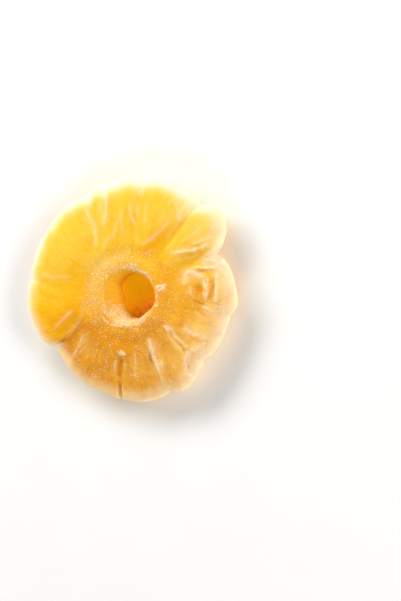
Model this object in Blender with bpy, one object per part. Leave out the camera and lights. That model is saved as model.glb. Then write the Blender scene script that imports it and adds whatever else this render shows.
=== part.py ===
"""A ring of dried pineapple with its round core hole, lying flat with the shown face up.

The ring is one closed surface of two parameters: the turn round the hole, and the loop round
the flesh's own section, which runs up the outer wall, over the face, down the wall of the hole
and back along the underside. The outline is a row of lobes, one for each eye of the fruit,
drawn in at the creases between them and nicked by two short dried splits.
"""

import bpy
import numpy as np

NODE = "pineapple_ring"
MM = 0.001

# Grid of the surface: places round the hole, rows, and how many times closer the rows are on top
STATIONS = 142
ROWS = 40
CLOSER_ON_TOP = 1.5
# How much closer the places are at a crease and in a split, and over how many degrees
CLOSER_AT_CREASE, CREASE_SPREAD = 0.9, 3.0
CLOSER_IN_SPLIT, SPLIT_SPREAD = 9.0, 1.9

# Hole, in millimetres from the middle of the slice
HOLE_CENTRE = np.array([1.0, -3.0])
MOUTH_RADII = (10.7, 9.8)
EXIT_RADII = (8.0, 7.8)
# Where the hole's wall comes in, at the mouth and at the underside: the direction in degrees, the
# spread and how far
MOUTH_BUMPS = ((312.0, 26.0, 1.5), (190.0, 40.0, 1.0), (262.0, 30.0, 0.9))
EXIT_BUMPS = ((198.0, 55.0, 3.2),)

# Lobes in order round the hole, each starting at a crease: the crease's direction in degrees,
# the outline's radius in the crease and at the lobe's crown, the height of the face at its first
# and last edge, how far the middle swells above them, how far the outer wall leans inwards, how
# deep the crease is, and how far the edge curls up there
LOBES = np.array([
    [-8.0, 38.0, 39.4, 8.5, 8.3, 0.5, 3.6, 0.2, 0.6],
    [26.0, 35.4, 43.9, 8.3, 8.3, 0.8, 2.0, 0.2, 0.5],
    [49.7, 41.3, 42.9, 8.2, 8.3, 0.7, 2.0, 0.25, 0.7],
    [82.0, 41.2, 41.6, 8.3, 8.3, 0.6, 2.4, 0.1, 0.3],
    [103.0, 40.5, 40.7, 8.3, 8.4, 0.5, 2.6, 0.1, 0.0],
    [118.0, 40.3, 42.6, 8.6, 8.7, 1.3, 3.0, 0.2, 0.0],
    [173.0, 42.0, 43.2, 8.7, 8.4, 0.9, 2.4, 0.2, 0.5],
    [211.5, 36.8, 37.4, 7.6, 7.7, 0.8, 1.6, 0.15, 0.6],
    [263.0, 36.2, 37.2, 7.7, 7.5, 0.6, 1.6, 0.3, 0.0],
    [295.5, 35.4, 37.4, 8.6, 8.7, 0.2, 1.6, 0.1, 0.5],
    [313.0, 36.6, 35.9, 8.7, 8.7, 0.3, 1.4, 0.3, 0.8],
    [322.5, 34.8, 36.9, 8.7, 8.6, 0.4, 2.0, 0.1, 1.0],
])
START, NOTCH, CROWN, FIRST, LAST, SWELL, LEAN, CREASE, CURL = LOBES.T
CREASE_WIDTH = 1.7
STEP_WIDTH = 1.0
# Crease that curls round the foot of the left lobe: its direction, how far it bends in degrees,
# the spread of the bend round the hole and the radii where it is complete and where it ends
BENT_CREASE, BEND, BEND_SPREAD, BEND_RADII = 211.5, -11.0, 16.0, (18.0, 28.0)

# Splits from the outline towards the hole: direction in degrees, radius of the inner end, and
# half the width at the outline
SPLITS = ((211.0, 34.0, 1.0), (263.0, 33.5, 1.2))
SPLIT_BLUNTNESS = 9

# Section: how square its corners are at the outer wall and at the hole, how far the foot of the
# outer wall tucks in, the width of the band at the hole and the height where both walls stand
# furthest out
OUTER_POWER, HOLE_POWER = 3.6, 9.0
SECTION_HALF_LENGTH, SECTION_HALF_HEIGHT = 15.0, 4.5
FOOT_TUCK = 1.2
MOUTH_BAND = 7.0
WAIST = 4.2

# Heights of the core, of the dip round it, of the bellies and of the arches under the creases
CORE_HEIGHT = 8.7
CORE_EDGE = 15.0
CORE_DIP, DIP_WIDTH = 0.5, 2.2
BELLY_DEPTH = -0.4
ARCH_RISE = 2.3


def smooth(low, high, value):
    """A ramp from 0 at low to 1 at high, level at both ends."""
    ramp = np.clip((value - low) / (high - low), 0.0, 1.0)
    return ramp * ramp * (3.0 - 2.0 * ramp)


def lens(share):
    """A blunt arch, 0 at both ends of a lobe and 1 in its middle."""
    return (1.0 - np.abs(2.0 * share - 1.0) ** 2.2) ** 0.6


def dome(share):
    """A soft swell, level at both ends of a lobe and 1 in its middle."""
    return np.sin(np.pi * share) ** 1.6


def lobe_at(turn):
    """The lobe that a direction lies in, and how far along it, from 0 to 1."""
    turn = START[0] + (turn - START[0]) % 360.0
    lobe = np.searchsorted(START, turn, side="right") - 1
    ends = np.append(START[1:], START[0] + 360.0)
    return lobe, (turn - START[lobe]) / (ends[lobe] - START[lobe])


def along(values, lobe, share):
    """A value set at each crease, read along the lobe between two of them."""
    return values[lobe] * (1.0 - share) + np.roll(values, -1)[lobe] * share


def lobed_radius(turn):
    """The outline without its splits: creases joined by straight runs, with an arch on each."""
    lobe, share = lobe_at(turn)
    chord = along(NOTCH, lobe, share)
    rise = CROWN - (NOTCH + np.roll(NOTCH, -1)) / 2.0
    angle = np.radians(turn)
    nicks = 0.18 * np.sin(11.0 * angle + 1.0) + 0.14 * np.sin(19.0 * angle + 2.2)
    return chord + rise[lobe] * lens(share) + nicks


def outline_radius(turn):
    """The outline with its splits, whose walls are nearly parallel and whose ends are blunt."""
    radius = lobed_radius(turn)
    for direction, inner, half_width in SPLITS:
        aside = np.radians((turn - direction + 180.0) % 360.0 - 180.0) * radius
        wall = np.clip(np.abs(aside) / half_width, 0.0, 1.0) ** SPLIT_BLUNTNESS
        radius = inner + (radius - inner) * wall
    return radius


def ellipse_radius(turn, radii):
    """An ellipse's radius in each direction, with the slight waves of a cut core."""
    angle = np.radians(turn)
    plain = 1.0 / np.hypot(np.cos(angle) / radii[0], np.sin(angle) / radii[1])
    return plain + 0.22 * np.sin(3.0 * angle + 0.6) + 0.10 * np.sin(7.0 * angle + 2.0)


def bump_at(turn, direction, spread):
    """A smooth bump round one direction, 1 at its top."""
    return np.exp(-((((turn - direction + 180.0) % 360.0 - 180.0) / spread) ** 2))


def hole_radius(turn, radii, bumps):
    """One end of the hole: its ellipse, drawn in by the bumps."""
    drawn_in = sum(reach * bump_at(turn, direction, spread) for direction, spread, reach in bumps)
    return ellipse_radius(turn, radii) - drawn_in


def crease_distance(turn, radius, crease):
    """Millimetres from a crease, measured round the hole, positive past it."""
    return np.radians((turn - START[crease] + 180.0) % 360.0 - 180.0) * radius


def face_turn(turn, radius):
    """Where the face's lobes and creases are read: turned a little at the foot of one crease."""
    inwards = smooth(BEND_RADII[1], BEND_RADII[0], radius)
    return turn - BEND * bump_at(turn, BENT_CREASE, BEND_SPREAD) * inwards


def edge_height(turn, radius):
    """The face's height out on the lobes, with a soft step where two lobes differ."""
    lobe, share = lobe_at(turn)
    height = FIRST[lobe] * (1.0 - share) + LAST[lobe] * share
    for crease in range(len(START)):
        jump = FIRST[crease] - LAST[crease - 1]
        aside = crease_distance(turn, radius, crease)
        blend = smooth(-STEP_WIDTH, STEP_WIDTH, aside)
        near = np.abs(aside) < STEP_WIDTH
        height = height + near * jump * (blend - (aside >= 0.0))
    return height


def crease_depth(turn, radius):
    """The grooves between the lobes, each a valley of one width."""
    depth = np.zeros_like(radius)
    for crease in range(len(START)):
        aside = crease_distance(turn, radius, crease) / CREASE_WIDTH
        depth = depth + CREASE[crease] * np.exp(-aside * aside)
    return depth


def face_height(turn, radius):
    """The top surface: a firm core, then lobes that swell between their creases."""
    lobe, share = lobe_at(turn)
    reach = np.clip((radius - CORE_EDGE) / (lobed_radius(turn) - CORE_EDGE), 0.0, 1.0)
    out = smooth(0.0, 0.5, reach)
    swell = SWELL[lobe] * dome(share) * np.sin(np.pi * np.minimum(1.0, 0.25 + 0.8 * reach)) * out
    dip = CORE_DIP * np.exp(-(((radius - CORE_EDGE - 1.0) / DIP_WIDTH) ** 2))
    height = CORE_HEIGHT + (edge_height(turn, radius) - CORE_HEIGHT) * out
    return height + swell - dip - crease_depth(turn, radius) * out


def under_height(turn, radius):
    """The underside before it is pressed flat: bellies below the ground, arches at creases."""
    reach = np.clip((radius - CORE_EDGE) / (lobed_radius(turn) - CORE_EDGE), 0.0, 1.0)
    rise = np.clip(crease_depth(turn, radius), 0.0, 1.0) * smooth(0.1, 0.7, reach)
    angle = np.radians(turn)
    roll = 0.5 * np.sin(2.0 * angle + 0.7) + 0.3 * np.sin(5.0 * angle + 1.9)
    return BELLY_DEPTH + ARCH_RISE * rise + roll


def station_turns(count):
    """Directions round the hole, closer together at the creases and inside the splits."""
    turn = np.linspace(START[0], START[0] + 360.0, 20001)
    density = np.ones_like(turn)
    for start in START:
        aside = (turn - start + 180.0) % 360.0 - 180.0
        density += CLOSER_AT_CREASE * np.exp(-((aside / CREASE_SPREAD) ** 2))
    for direction, _, _ in SPLITS:
        aside = (turn - direction + 180.0) % 360.0 - 180.0
        density += CLOSER_IN_SPLIT * np.exp(-((aside / SPLIT_SPREAD) ** 2))
    travel = np.concatenate([[0.0], np.cumsum((density[1:] + density[:-1]) / 2.0)])
    return np.interp(np.arange(count) * travel[-1] / count, travel, turn)


def section_rows(count, closer):
    """Points round a section whose corners are superellipses, sharper at the hole.

    Across runs from -1 at the hole to 1 at the outline and up from -1 to 1. The rows are spread
    by length, and so many times closer on the upper half, which shows.
    """
    around = np.linspace(0.0, 2.0 * np.pi, 8001)
    power = np.where(np.cos(around) > 0.0, OUTER_POWER, HOLE_POWER)
    across = np.sign(np.cos(around)) * np.abs(np.cos(around)) ** (2.0 / power)
    up = np.sign(np.sin(around)) * (1.0 - np.minimum(1.0, np.abs(across)) ** power) ** (1.0 / power)
    step = np.hypot(SECTION_HALF_LENGTH * np.diff(across), SECTION_HALF_HEIGHT * np.diff(up))
    step = step * np.where(np.sin(around[1:]) > 0.0, closer, 1.0)
    travel = np.concatenate([[0.0], np.cumsum(step)])
    places = np.arange(count) * travel[-1] / count
    return np.interp(places, travel, across), np.interp(places, travel, up)


def ring_points(stations, rows, closer):
    """The surface as an array of stations by rows by three, in millimetres."""
    turn = station_turns(stations)[:, None]
    across, up = (values[None, :] for values in section_rows(rows, closer))
    mouth = hole_radius(turn, MOUTH_RADII, MOUTH_BUMPS)
    out = hole_radius(turn, EXIT_RADII, EXIT_BUMPS)
    inner = (mouth + out) / 2.0
    outer = outline_radius(turn)
    lobe, share = lobe_at(turn)
    lean = along(LEAN, lobe, share) * smooth(20.0, 36.0, outer)
    outer_share = np.clip((across - 0.5) / 0.5, 0.0, 1.0) ** 2
    inner_share = np.clip((-across - 0.5) / 0.5, 0.0, 1.0)
    band = np.minimum(across + 1.0, 0.5) * 2.0 * MOUTH_BAND
    beyond = np.maximum(across + 0.5, 0.0) / 1.5 * (outer - inner - MOUTH_BAND)
    radius = inner + band + beyond
    radius = radius - outer_share * lean * np.maximum(up, 0.0) ** 1.5
    radius = radius - outer_share * FOOT_TUCK * np.maximum(-up, 0.0) ** 2
    radius = radius + inner_share * (mouth - out) / 2.0 * up
    turn = np.broadcast_to(turn, radius.shape)
    top = face_height(face_turn(turn, radius), radius)
    bottom = under_height(turn, radius)
    height = WAIST + np.where(up > 0.0, up * (top - WAIST), up * (WAIST - bottom))
    height = height + along(CURL, lobe, share) * smooth(CORE_EDGE, 42.0, radius) ** 1.5
    angle = np.radians(turn)
    x = HOLE_CENTRE[0] + radius * np.cos(angle)
    y = HOLE_CENTRE[1] + radius * np.sin(angle)
    return np.stack([x, y, np.maximum(height, 0.0)], axis=-1)


def centred(points):
    """The points with the middle of their box at the origin and the lowest at zero height."""
    flat = points.reshape(-1, 3)
    low, high = flat.min(axis=0), flat.max(axis=0)
    return points - np.array([(low[0] + high[0]) / 2.0, (low[1] + high[1]) / 2.0, low[2]])


def ring_faces(stations, rows):
    """Four-cornered faces that close the grid both ways, turned outwards."""
    station, row = np.meshgrid(np.arange(stations), np.arange(rows), indexing="ij")
    following = (station + 1) % stations
    above = (row + 1) % rows
    here, there = station * rows, following * rows
    corners = (here + row, there + row, there + above, here + above)
    return np.stack(corners, axis=-1).reshape(-1, 4)


def flesh_material():
    """Translucent golden flesh with a soft sugary shine."""
    material = bpy.data.materials.new("dried_flesh")
    material.use_nodes = True
    shader = material.node_tree.nodes["Principled BSDF"]
    shader.inputs["Base Color"].default_value = (0.92, 0.55, 0.08, 1.0)
    shader.inputs["Roughness"].default_value = 0.42
    shader.inputs["Metallic"].default_value = 0.0
    return material


def build_ring():
    """The whole slice as one closed solid."""
    points = centred(ring_points(STATIONS, ROWS, CLOSER_ON_TOP)) * MM
    mesh = bpy.data.meshes.new(NODE)
    mesh.from_pydata(points.reshape(-1, 3).tolist(), [], ring_faces(STATIONS, ROWS).tolist())
    mesh.materials.append(flesh_material())
    mesh.shade_smooth()
    ring = bpy.data.objects.new(NODE, mesh)
    bpy.context.scene.collection.objects.link(ring)


def main():
    for old in list(bpy.data.objects):
        bpy.data.objects.remove(old, do_unlink=True)
    build_ring()


main()
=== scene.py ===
"""Looks of a ring of dried pineapple: translucent fibrous flesh, pale strands, grains of sugar.

The flesh is the part's own form on a finer grid, raised by its fibres, strands, cracks and crust.
Lengths are in millimetres until a mesh is made, and directions in degrees round the hole.
"""

from types import SimpleNamespace
import bpy
import numpy as np
from mathutils import Matrix, Vector


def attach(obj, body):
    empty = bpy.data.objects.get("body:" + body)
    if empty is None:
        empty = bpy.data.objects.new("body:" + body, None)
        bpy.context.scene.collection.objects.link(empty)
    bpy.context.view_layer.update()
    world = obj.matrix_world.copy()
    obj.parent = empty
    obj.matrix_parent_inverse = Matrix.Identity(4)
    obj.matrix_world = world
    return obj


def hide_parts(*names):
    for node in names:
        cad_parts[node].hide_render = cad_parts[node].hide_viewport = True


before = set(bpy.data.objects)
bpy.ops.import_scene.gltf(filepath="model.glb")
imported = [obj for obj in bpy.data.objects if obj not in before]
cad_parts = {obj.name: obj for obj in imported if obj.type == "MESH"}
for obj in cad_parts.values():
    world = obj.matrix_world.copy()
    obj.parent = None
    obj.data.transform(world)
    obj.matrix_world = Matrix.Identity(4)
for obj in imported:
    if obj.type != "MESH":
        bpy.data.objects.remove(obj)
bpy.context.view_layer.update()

NODE = "pineapple_ring"
MM = 0.001

# Grids of the surface, the part's own and the fine one made here: places round the hole, rows,
# and how many times closer the rows are where they show
PART_GRID = (142, 40, 1.5)
FINE_GRID = (700, 142, 3.2)
# How much closer the places are at a crease and in a split, and over how many degrees
CLOSER_AT_CREASE, CREASE_SPREAD = 0.9, 3.0
CLOSER_IN_SPLIT, SPLIT_SPREAD = 9.0, 1.9

# Hole, in millimetres from the middle of the slice
HOLE_CENTRE = np.array([1.0, -3.0])
MOUTH_RADII = (10.7, 9.8)
EXIT_RADII = (8.0, 7.8)
# Where the hole's wall comes in, at the mouth and at the underside: the direction in degrees, the
# spread and how far
MOUTH_BUMPS = ((312.0, 26.0, 1.5), (190.0, 40.0, 1.0), (262.0, 30.0, 0.9))
EXIT_BUMPS = ((198.0, 55.0, 3.2),)

# Lobes in order round the hole, each starting at a crease: the crease's direction in degrees,
# the outline's radius in the crease and at the lobe's crown, the height of the face at its first
# and last edge, how far the middle swells above them, how far the outer wall leans inwards, how
# deep the crease is, and how far the edge curls up there
LOBES = np.array([
    [-8.0, 38.0, 39.4, 8.5, 8.3, 0.5, 3.6, 0.2, 0.6],
    [26.0, 35.4, 43.9, 8.3, 8.3, 0.8, 2.0, 0.2, 0.5],
    [49.7, 41.3, 42.9, 8.2, 8.3, 0.7, 2.0, 0.25, 0.7],
    [82.0, 41.2, 41.6, 8.3, 8.3, 0.6, 2.4, 0.1, 0.3],
    [103.0, 40.5, 40.7, 8.3, 8.4, 0.5, 2.6, 0.1, 0.0],
    [118.0, 40.3, 42.6, 8.6, 8.7, 1.3, 3.0, 0.2, 0.0],
    [173.0, 42.0, 43.2, 8.7, 8.4, 0.9, 2.4, 0.2, 0.5],
    [211.5, 36.8, 37.4, 7.6, 7.7, 0.8, 1.6, 0.15, 0.6],
    [263.0, 36.2, 37.2, 7.7, 7.5, 0.6, 1.6, 0.3, 0.0],
    [295.5, 35.4, 37.4, 8.6, 8.7, 0.2, 1.6, 0.1, 0.5],
    [313.0, 36.6, 35.9, 8.7, 8.7, 0.3, 1.4, 0.3, 0.8],
    [322.5, 34.8, 36.9, 8.7, 8.6, 0.4, 2.0, 0.1, 1.0],
])
START, NOTCH, CROWN, FIRST, LAST, SWELL, LEAN, CREASE, CURL = LOBES.T
# Widths of a crease and of the step between two lobes of unequal height
CREASE_WIDTH = 1.7
STEP_WIDTH = 2.2
# How much each lobe leans from yellow to amber; the lean to amber of the lobes at the bottom
# is painted shade
LOBE_TONE_AND_SHADE = np.array([-0.12, -0.16, -0.04, 0.0, 0.0, -0.08, -0.12, 0.24, 0.28, 0.12, -0.06, -0.10])
# Crease that curls round the foot of the left lobe: its direction, how far it bends in degrees,
# the spread of the bend round the hole and the radii where it is complete and where it ends
BENT_CREASE, BEND, BEND_SPREAD, BEND_RADII = 211.5, -11.0, 16.0, (18.0, 28.0)

# Splits from the outline towards the hole: direction in degrees, radius of the inner end, and
# half the width at the outline
SPLITS = ((211.0, 34.0, 1.0), (263.0, 33.5, 1.2))
SPLIT_BLUNTNESS = 9

# Section: how square its corners are at the outer wall and at the hole, how far the foot of the
# outer wall tucks in, the width of the band at the hole and the height where both walls stand
# furthest out
OUTER_POWER, HOLE_POWER = 3.6, 9.0
SECTION_HALF_LENGTH, SECTION_HALF_HEIGHT = 15.0, 4.5
FOOT_TUCK = 1.2
MOUTH_BAND = 7.0
WAIST = 4.2

# Heights of the core, of the dip round it, of the bellies and of the arches under the creases
CORE_HEIGHT = 8.7
CORE_EDGE = 15.0
CORE_DIP, DIP_WIDTH = 0.5, 2.2
BELLY_DEPTH = -0.4
ARCH_RISE = 2.3

# Raised strands on the face: the points that each runs through, in millimetres from the middle of
# the slice, half its width, its height before the rise that all share, and how white it is
STRAND_RISE = 0.50
STRANDS = (
    (((15.7, 11.9), (20.9, 13.1), (25.5, 13.6), (28.9, 14.2), (31.2, 15.2), (34.8, 16.9)),
     0.85, 0.8, 0.8),
    (((25.5, 15.4), (28.5, 16.4), (32, 17.4), (35, 18.4)), 0.7, 0.55, 0.6),
    (((14, 8.6), (18.5, 9.6), (22.5, 10.4)), 0.5, 0.25, 0.2),
    (((20, 10.2), (25, 11), (29, 12.2)), 0.45, 0.3, 0.25),
    (((11.4, 14.1), (9.6, 13.1), (7.8, 12)), 0.4, 0.35, 0.3),
    (((21.6, 24), (18.6, 20.4), (15.4, 17.6)), 0.6, 0.15, 0.2),
    (((30.5, 22), (26, 18.5), (22.6, 15.6)), 0.5, 0.2, 0.22),
    (((23.8, 7.2), (26.6, 7.9), (29.6, 7.7), (33, 7.6), (34.6, 7.4)), 0.6, 0.75, 0.65),
    (((23.8, 0.6), (23.5, 3), (24.1, 5.2), (26, 6), (28.5, 5), (30.8, 4.5), (32.8, 4.6)),
     1.05, 0.7, 0.9),
    (((25.9, 2.2), (25.6, 0.4), (26.2, -1.2), (27.8, -2.6)), 0.6, 0.5, 0.6),
    (((30.4, 3.6), (31.4, 1.6), (31.9, -0.4), (31.2, -2.6)), 0.75, 0.65, 0.95),
    (((35, 7.4), (35.5, 3.4), (35.6, 0), (35.2, -3.4)), 0.8, 0.7, 0.95),
    (((29.6, -5.4), (32, -5.8), (34, -6.6), (36.4, -7.6)), 0.75, 0.5, 0.8),
    (((26.5, -7), (30, -9), (34, -10.5)), 0.6, 0.2, 0.2),
    (((16.6, -12.6), (18.8, -13.7), (21.3, -16.8), (23.6, -18.6), (25, -20.4)), 0.7, 0.6, 0.65),
    (((16.2, -13.8), (17.6, -16), (20.4, -18.8), (23.4, -21.4)), 0.6, 0.45, 0.45),
    (((24.6, -21), (27.8, -19.9), (30, -18.6), (31.8, -17.4)), 0.75, 0.6, 0.95),
    (((21.5, -12.4), (26, -13.8), (30, -15.4), (33, -16.4)), 1.2, 0.35, 0.75),
    (((25.2, -21.2), (24.1, -24.3), (23.6, -27.1), (24.2, -30.6)), 0.7, 0.5, 0.75),
    (((9.2, -16.4), (10.3, -19.7), (11.5, -23.2), (12.9, -26.6), (14.8, -30.4)), 0.9, 0.7, 1),
    (((13.6, -23.6), (14.6, -25.6), (15.4, -27.4)), 0.55, 0.35, 0.6),
    (((3.6, -20.6), (4.1, -24.4), (3.9, -28), (3.6, -32.5)), 0.4, 0.3, 0.4),
    (((-3.6, -24.6), (-4.2, -27.2), (-4.6, -30.2)), 0.4, 0.4, 0.7),
    (((-16.2, -15.9), (-18.2, -19.1), (-20.4, -22.7), (-22.4, -26.5)), 0.4, 0.35, 0.45),
    (((-20.4, -7.8), (-23.6, -10.4), (-26.1, -12.8), (-29.8, -15)), 0.45, 0.35, 0.45),
    (((-17.6, -3.4), (-17.2, -8.4), (-18.9, -12), (-22.3, -15.4), (-26, -17.6)),
     0.5, 0.2, 0.3),
    (((1.8, 30.4), (2.3, 27), (3, 24), (4.5, 21.7)), 0.45, 0.15, 0.55),
    (((4.7, 29.8), (4.4, 26.8), (5.2, 24.6)), 0.45, 0.12, 0.45),
    (((8.6, 30), (8, 26), (8.4, 22.5)), 0.5, 0.05, 0.3),
    (((-7.8, 33.6), (-7.8, 31), (-7.8, 28.7), (-8, 24.7), (-8.7, 20.6)), 0.75, 0.25, 0.8),
    (((-9.6, 33.6), (-8.8, 31.6), (-7.9, 29.6)), 0.6, 0.15, 0.6),
    (((-17.6, 29.4), (-14.8, 25.2), (-12.5, 21.3), (-11.9, 17.4), (-12, 13.6)), 0.6, 0.2, 0.62),
    (((-2, 24.5), (-4.2, 20.5), (-5, 17)), 0.55, 0.1, 0.45),
    (((-0.5, 29), (-1.4, 25), (-1, 21), (0.4, 17.5)), 0.45, 0.08, 0.32),
    (((13.5, 20.5), (10, 17.2), (6, 14.6)), 0.5, 0.1, 0.45),
    (((18, 24.5), (14.5, 20.5), (11.5, 17.5)), 0.5, 0.1, 0.35),
    (((-5.6, 19), (-7.4, 16), (-8.8, 13.6)), 0.5, 0.08, 0.4),
    (((23.6, 30), (22.2, 27.3), (21.4, 25.2), (20.4, 22.8)), 0.95, 0.3, 0.85),
    (((25.2, 30.6), (24.6, 28.4), (24.2, 25.6)), 0.65, 0.2, 0.6),
    (((-40, 1.8), (-34, 3.6), (-28, 3.6), (-21, 3)), 0.55, 0.12, 0.35),
    (((12, 1.2), (14, 1.3), (16.4, 1.6)), 0.4, 0.6, 1.3),
    (((12.2, -0.4), (14, 0.3), (16, 1.2)), 0.4, 0.6, 1.3),
)

# Cracks on the face, in the same way: points, half the width, depth, and how much painted shade
# darkens them. The last is the slit that runs from the white lump to the lower split, whose shade
# is painted amber
CRACKS = (
    (((25.6, 14.5), (27.5, 14.9), (29.6, 15.7)), 0.3, 0.2, 0.3),
    (((27.2, 6.7), (29.2, 6.5), (31.6, 6.2)), 0.6, 0.05, 0.35),
    (((26.3, -2.9), (28.3, -3.6), (30.4, -4.5), (31.9, -4)), 0.34, 0.35, 1.1),
    (((31.9, -4), (32.8, -2.3), (33.4, -0.2), (33.7, 1.7), (33.6, 3.8)), 0.3, 0.25, 0.9),
    (((17.7, -14.2), (19.1, -15.8)), 0.26, 0.3, 0.9),
    (((21, -18), (22.6, -19.6), (24.4, -20.9)), 0.26, 0.3, 0.9),
    (((30.6, -18.6), (31.4, -18.2)), 0.35, 0.3, 0.9),
    (((9.2, -21.4), (9.9, -24), (10.9, -26.6)), 0.24, 0.2, 0.5),
    (((13.8, -24.4), (14.6, -25.6)), 0.25, 0.2, 0.9),
    (((24.8, -24.6), (24.5, -27.4)), 0.25, 0.2, 0.7),
    (((-2, -24.4), (-2.2, -26.2), (-2.5, -28.2), (-2.8, -30.4), (-3.2, -34)),
     1.4, 0.3, 1),
)

# Hollows in the face: middle, half length and half breadth, turn in degrees, depth. The first
# three are the pit in the right lobe and the grooves beside and above it
HOLLOWS = (
    ((28.8, 0.2), 2.1, 2.5, 10, 0.8),
    ((34.3, 1.4), 0.7, 3.6, 0, 0.5),
    ((29.6, 6.5), 2.6, 1, 0, 0.35),
    ((-14.5, 14.5), 2.5, 4, -20, 0.4),
    ((22, 20), 5, 2.5, 50, 0.2),
    ((16, -20), 3, 6, 25, 0.4),
    ((-12, -21), 6, 5, 0, 0.3),
)

# Milky patches where the flesh has dried pale, in the same way, with an amount
HAZES = (
    ((32, 22), 12, 9, 20, 0.68),
    ((24, 28), 7, 8, -20, 0.7),
    ((15, 36), 9, 3.5, -15, 0.55),
    ((17.5, 25), 6, 6.5, -20, 0.42),
    ((26, -22), 10, 12, -40, 0.62),
    ((20.5, -24), 6.5, 9, 10, 0.5),
    ((31, -12), 9, 7, -30, 0.6),
    ((32, 9.5), 6, 3.2, 10, 0.6),
    ((32, 3.4), 1.6, 2.2, 0, 0.6),
    ((24.5, 4), 2, 2.4, 0, 0.45),
    ((29.5, 3), 6.5, 4.5, 0, 0.25),
    ((37.2, 1), 3.4, 9, 0, 0.62),
    ((33.5, -6), 6, 4.5, 0, 0.65),
    ((-38, -3), 15, 4.5, 90, 0.5),
    ((-29.5, 23), 10, 5, 50, 0.4),
    ((-11.5, 9.5), 7, 5, 40, 0.45),
    ((-13, -3), 5.5, 4, 80, 0.3),
    ((2, 10), 8, 3, -10, 0.3),
    ((-9.5, 29), 3.2, 7.5, 0, 0.6),
    ((-14.5, 24), 3, 9, 25, 0.42),
    ((3.5, 30), 4, 5, 0, 0.35),
    ((21, 27), 2.6, 5, -15, 0.5),
    ((-17.5, -20), 8, 6.5, 40, 0.42),
    ((-24, -26), 8, 4, -35, 0.25),
    ((-3, -29.5), 9, 5, 0, 0.3),
    ((5.5, -28), 5, 7, 10, 0.32),
    ((13.5, -27), 6, 9, 15, 0.55),
    ((13, -9), 3, 5, -30, 0.25),
)

# Clear patches, where the flesh is smooth and deep in colour, in the same way
CLEARINGS = (
    ((0.5, -19.8), 6.5, 4.6, 0, 0.85),
    ((12, 16.5), 8, 3.6, 40, 0.55),
    ((20, 4), 6, 3, 20, 0.55),
    ((14.5, -2.5), 4, 6, 0, 0.35),
    ((28.8, 0.2), 1.7, 2.2, 10, 0.8),
    ((33.4, 1.4), 0.7, 3.4, 0, 0.8),
    ((29.4, 6.5), 2.4, 0.8, 0, 0.8),
    ((20, -6.5), 7, 3.5, -20, 0.4),
    ((-24, -11), 9.5, 5, 20, 0.65),
    ((-9, -17.5), 7.5, 3.5, 0, 0.6),
)

# Patches of sugar crust on the face, in the same way
PATCHES = (
    ((3.5, 8.2), 3.8, 1, -22, 0.65),
    ((9, 4.8), 2.4, 0.9, -45, 0.6),
    ((-1, -12.9), 5, 0.7, 0, 0.75),
    ((6.5, -11.6), 3, 0.8, 40, 0.7),
    ((-8.5, -10.8), 3.4, 0.8, -45, 0.45),
    ((33.4, 21.6), 2.6, 1.2, 10, 0.55),
    ((34.9, 24.6), 1.8, 1, 20, 0.45),
    ((32.6, 7.9), 1.8, 0.7, 5, 0.95),
    ((37, -5.8), 2.8, 2.1, 0, 1),
    ((36.6, 9.2), 2.4, 1.2, -30, 1),
    ((31.6, 9.8), 1.8, 1, 0, 0.55),
    ((24.2, -31), 0.8, 1.4, 5, 0.8),
    ((14.2, -30.2), 0.8, 1.4, 20, 0.6),
    ((5.7, 33.4), 0.7, 1.3, -15, 0.7),
    ((35.1, -2.4), 1, 1.4, 0, 1),
    ((31.2, -1.8), 0.8, 1.3, 15, 0.9),
    ((17.2, -13.2), 2.2, 1.3, -35, 0.95),
    ((19.6, -15.6), 1.6, 0.8, -50, 0.8),
    ((30, -18.2), 1.8, 0.8, 25, 0.75),
    ((31.4, 3.4), 1.5, 0.9, 0, 0.9),
    ((24.8, 4.6), 1.6, 0.7, 40, 0.45),
    ((35.3, 4.8), 0.7, 1.8, 0, 0.85),
    ((24.8, -22), 1, 1.5, 20, 0.95),
    ((24, -25.4), 0.9, 1.4, 0, 0.9),
    ((23.7, -28.4), 0.9, 1.6, 0, 0.9),
    ((10.2, -20), 0.9, 2.6, 12, 0.8),
    ((11.6, -23.4), 0.9, 1.6, 20, 0.75),
    ((13, -26.8), 1, 2.6, 20, 0.9),
    ((14.6, -25), 0.9, 1.4, 20, 0.7),
)

# Lumps of sugar that stand up: middle, half length and half breadth, turn in degrees, height
LUMPS = (
    ((-1.5, -22.6), 1.9, 1.5, -10, 0.4),
    ((13, 0.6), 1, 0.9, 0, 0.35),
    ((12.6, -5.4), 0.9, 0.8, 0, 0.4),
    ((-11.5, -22.2), 0.5, 0.4, 0, 0.3),
    ((36, 9.4), 1.7, 0.8, -35, 0.35),
    ((38, 5.8), 0.7, 1.7, 12, 0.25),
    ((32.9, 10.2), 1.1, 0.6, 0, 0.3),
    ((38.4, -1), 0.6, 1.5, 0, 0.2),
    ((34.9, -3), 0.7, 0.9, 0, 0.25),
    ((33.6, 7.7), 1, 0.6, 0, 0.3),
    ((37, -6.2), 1.2, 0.9, 0, 0.25),
)

# Frost of fine sugar round the hole by direction in degrees: on the mouth's edge, on the core's
# face, and down the wall
FROST_TURNS = (0, 30, 60, 90, 120, 150, 180, 210, 240, 270, 300, 330, 360)
MOUTH_FROST = (0.60, 0.50, 0.95, 0.95, 0.50, 0.20, 0.25, 0.60, 1.00, 1.15, 1.00, 0.65, 0.60)
CORE_FROST = (0.18, 0.16, 0.25, 0.45, 0.70, 0.75, 0.58, 0.40, 0.22, 0.12, 0.15, 0.22, 0.18)
WALL_FROST = (0.10, 0.10, 0.05, 0.00, 0.00, 0.00, 0.00, 0.50, 0.85, 0.85, 0.50, 0.10, 0.10)

# How fast the fibres' vectors change round the hole, out from it and down
FIBRE_ROUND, FIBRE_OUT, FIBRE_DOWN = 40.0, 0.22, 0.5
# Size of the table of random values behind the waves, which is also how often they repeat. Each
# call of the waves ends with its seed
WAVE_TABLE = (97, 89)

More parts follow.
